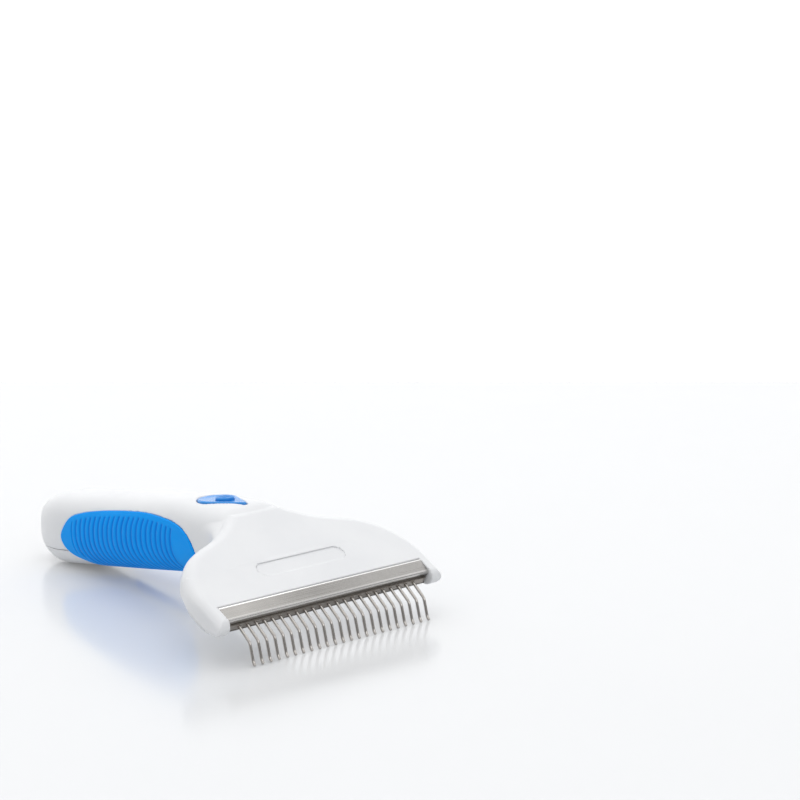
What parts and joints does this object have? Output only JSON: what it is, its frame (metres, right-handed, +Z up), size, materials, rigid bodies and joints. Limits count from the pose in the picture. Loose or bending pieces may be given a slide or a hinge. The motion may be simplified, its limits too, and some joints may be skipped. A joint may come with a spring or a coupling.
{
  "type": "deshedding tool",
  "caption": "Hand deshedding tool: a row of curved steel tines in a wide white head, ribbed grips, and a thumb button that pushes out a fur ejector.",
  "frame": {"origin": "centre of the whole tool in plan, on the surface that it rests on", "axes": "+X across the head, +Y along the handle from the tines to its tail, +Z up, with the tool resting on its tine tips and its tail"},
  "size_m": [0.1134, 0.1838, 0.0449],
  "materials": {
    "white_shell": "satin moulded ABS",
    "blue_grip": "matt soft-touch elastomer",
    "blue_button": "satin moulded plastic",
    "spring_steel": "drawn spring wire",
    "inner_plastic": "glass-filled nylon",
    "ejector_steel": "stamped stainless",
    "screw_steel": "zinc plated",
    "channel_steel": "polished stainless sheet",
    "tine_steel": "polished stainless wire"
  },
  "bodies": {
    "body": {"upper_shell": "white_shell", "lower_shell": "white_shell", "left_grip": "blue_grip", "right_grip": "blue_grip", "button_spring": "spring_steel", "guide_block": "inner_plastic", "guide_pins": "spring_steel", "block_screws": "screw_steel", "front_channel": "channel_steel", "lower_plate": "channel_steel", "tine_bar": "inner_plastic", "channel_screws": "screw_steel", "head_screws": "screw_steel", "handle_screws": "screw_steel", "tine_1": "tine_steel", "tine_2": "tine_steel", "tine_3": "tine_steel", "tine_4": "tine_steel", "tine_5": "tine_steel", "tine_6": "tine_steel", "tine_7": "tine_steel", "tine_8": "tine_steel", "tine_9": "tine_steel", "tine_10": "tine_steel", "tine_11": "tine_steel", "tine_12": "tine_steel", "tine_13": "tine_steel", "tine_14": "tine_steel", "tine_15": "tine_steel", "tine_16": "tine_steel", "tine_17": "tine_steel", "tine_18": "tine_steel", "tine_19": "tine_steel", "tine_20": "tine_steel", "tine_21": "tine_steel", "tine_22": "tine_steel", "tine_23": "tine_steel"},
    "button": {"button": "blue_button", "thumb_pad": "blue_button"},
    "ejector": {"carriage": "inner_plastic", "ejector_comb": "ejector_steel", "comb_rivets": "ejector_steel"}
  },
  "joints": [
    {"name": "button_press", "type": "slide", "parent": "body", "child": "button", "axis": [0, 0, -1], "range_m": [0, 0.0037], "deforming": ["button_spring"]},
    {"name": "ejector_slide", "type": "slide", "parent": "body", "child": "ejector", "axis": [0, -0.7848, -0.6198], "range_m": [0, 0.00597]}
  ],
  "couplings": [
    {"joint": "ejector_slide", "follows": "button_press", "ratio": 1.6135}
  ]
}
